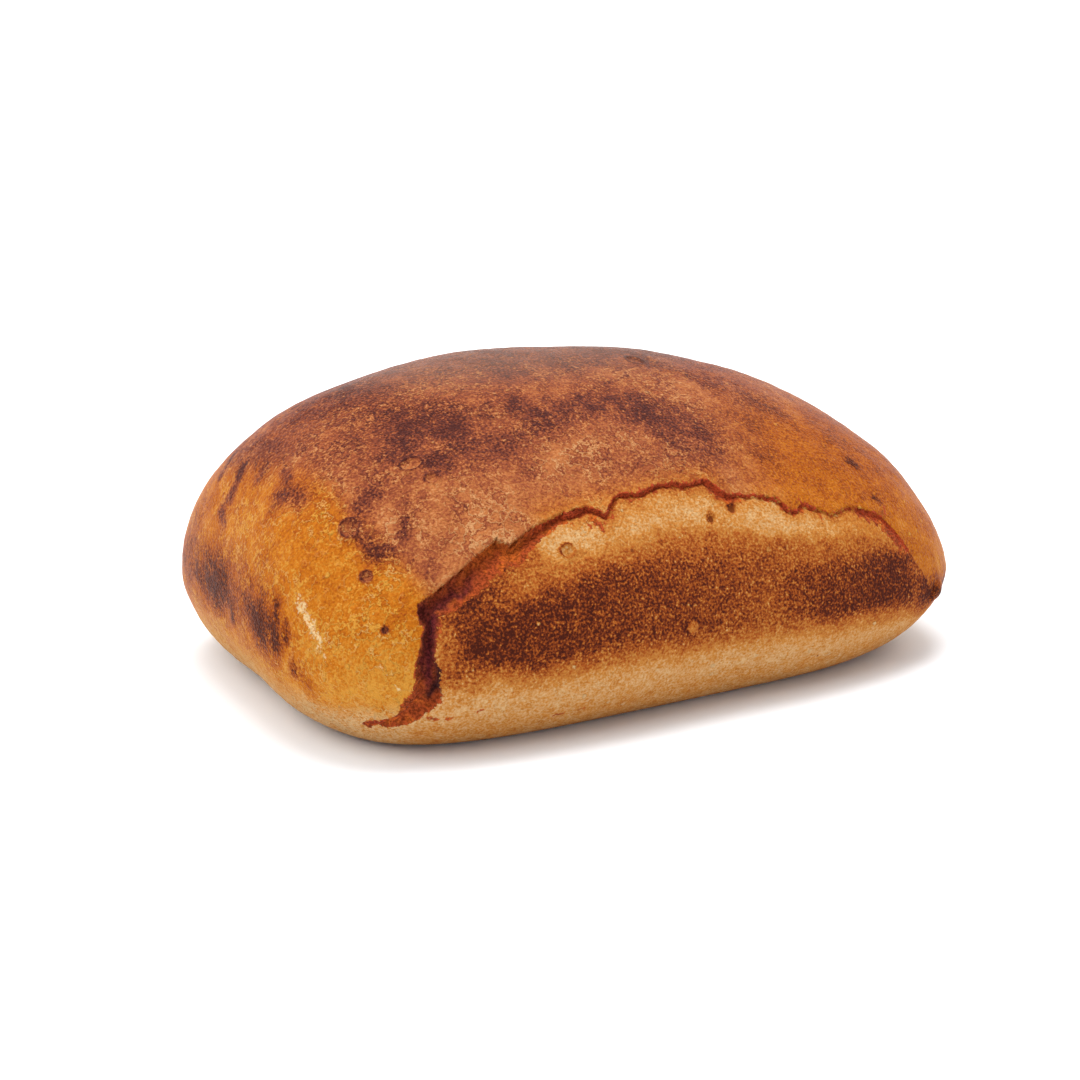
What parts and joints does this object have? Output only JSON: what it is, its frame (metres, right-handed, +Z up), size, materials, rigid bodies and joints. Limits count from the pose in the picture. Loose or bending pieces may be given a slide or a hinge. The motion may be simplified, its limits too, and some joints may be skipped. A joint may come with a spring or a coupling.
{
  "type": "milk bread",
  "caption": "Free-baked oblong loaf of milk bread with a domed browned top, rounded foot and flat underside, torn along one long side.",
  "frame": {"origin": "middle of the loaf's box, at the level of the flat underside", "axes": "+X along the loaf to the end that is on the right when the torn long side faces the viewer, +Z up; the torn side faces -Y"},
  "size_m": [0.2002, 0.1404, 0.0824],
  "materials": {
    "crust": "baked bread crust, browned on top and paler at the foot, dull to slightly glossy"
  },
  "bodies": {
    "root": {"loaf": "crust"}
  },
  "joints": []
}
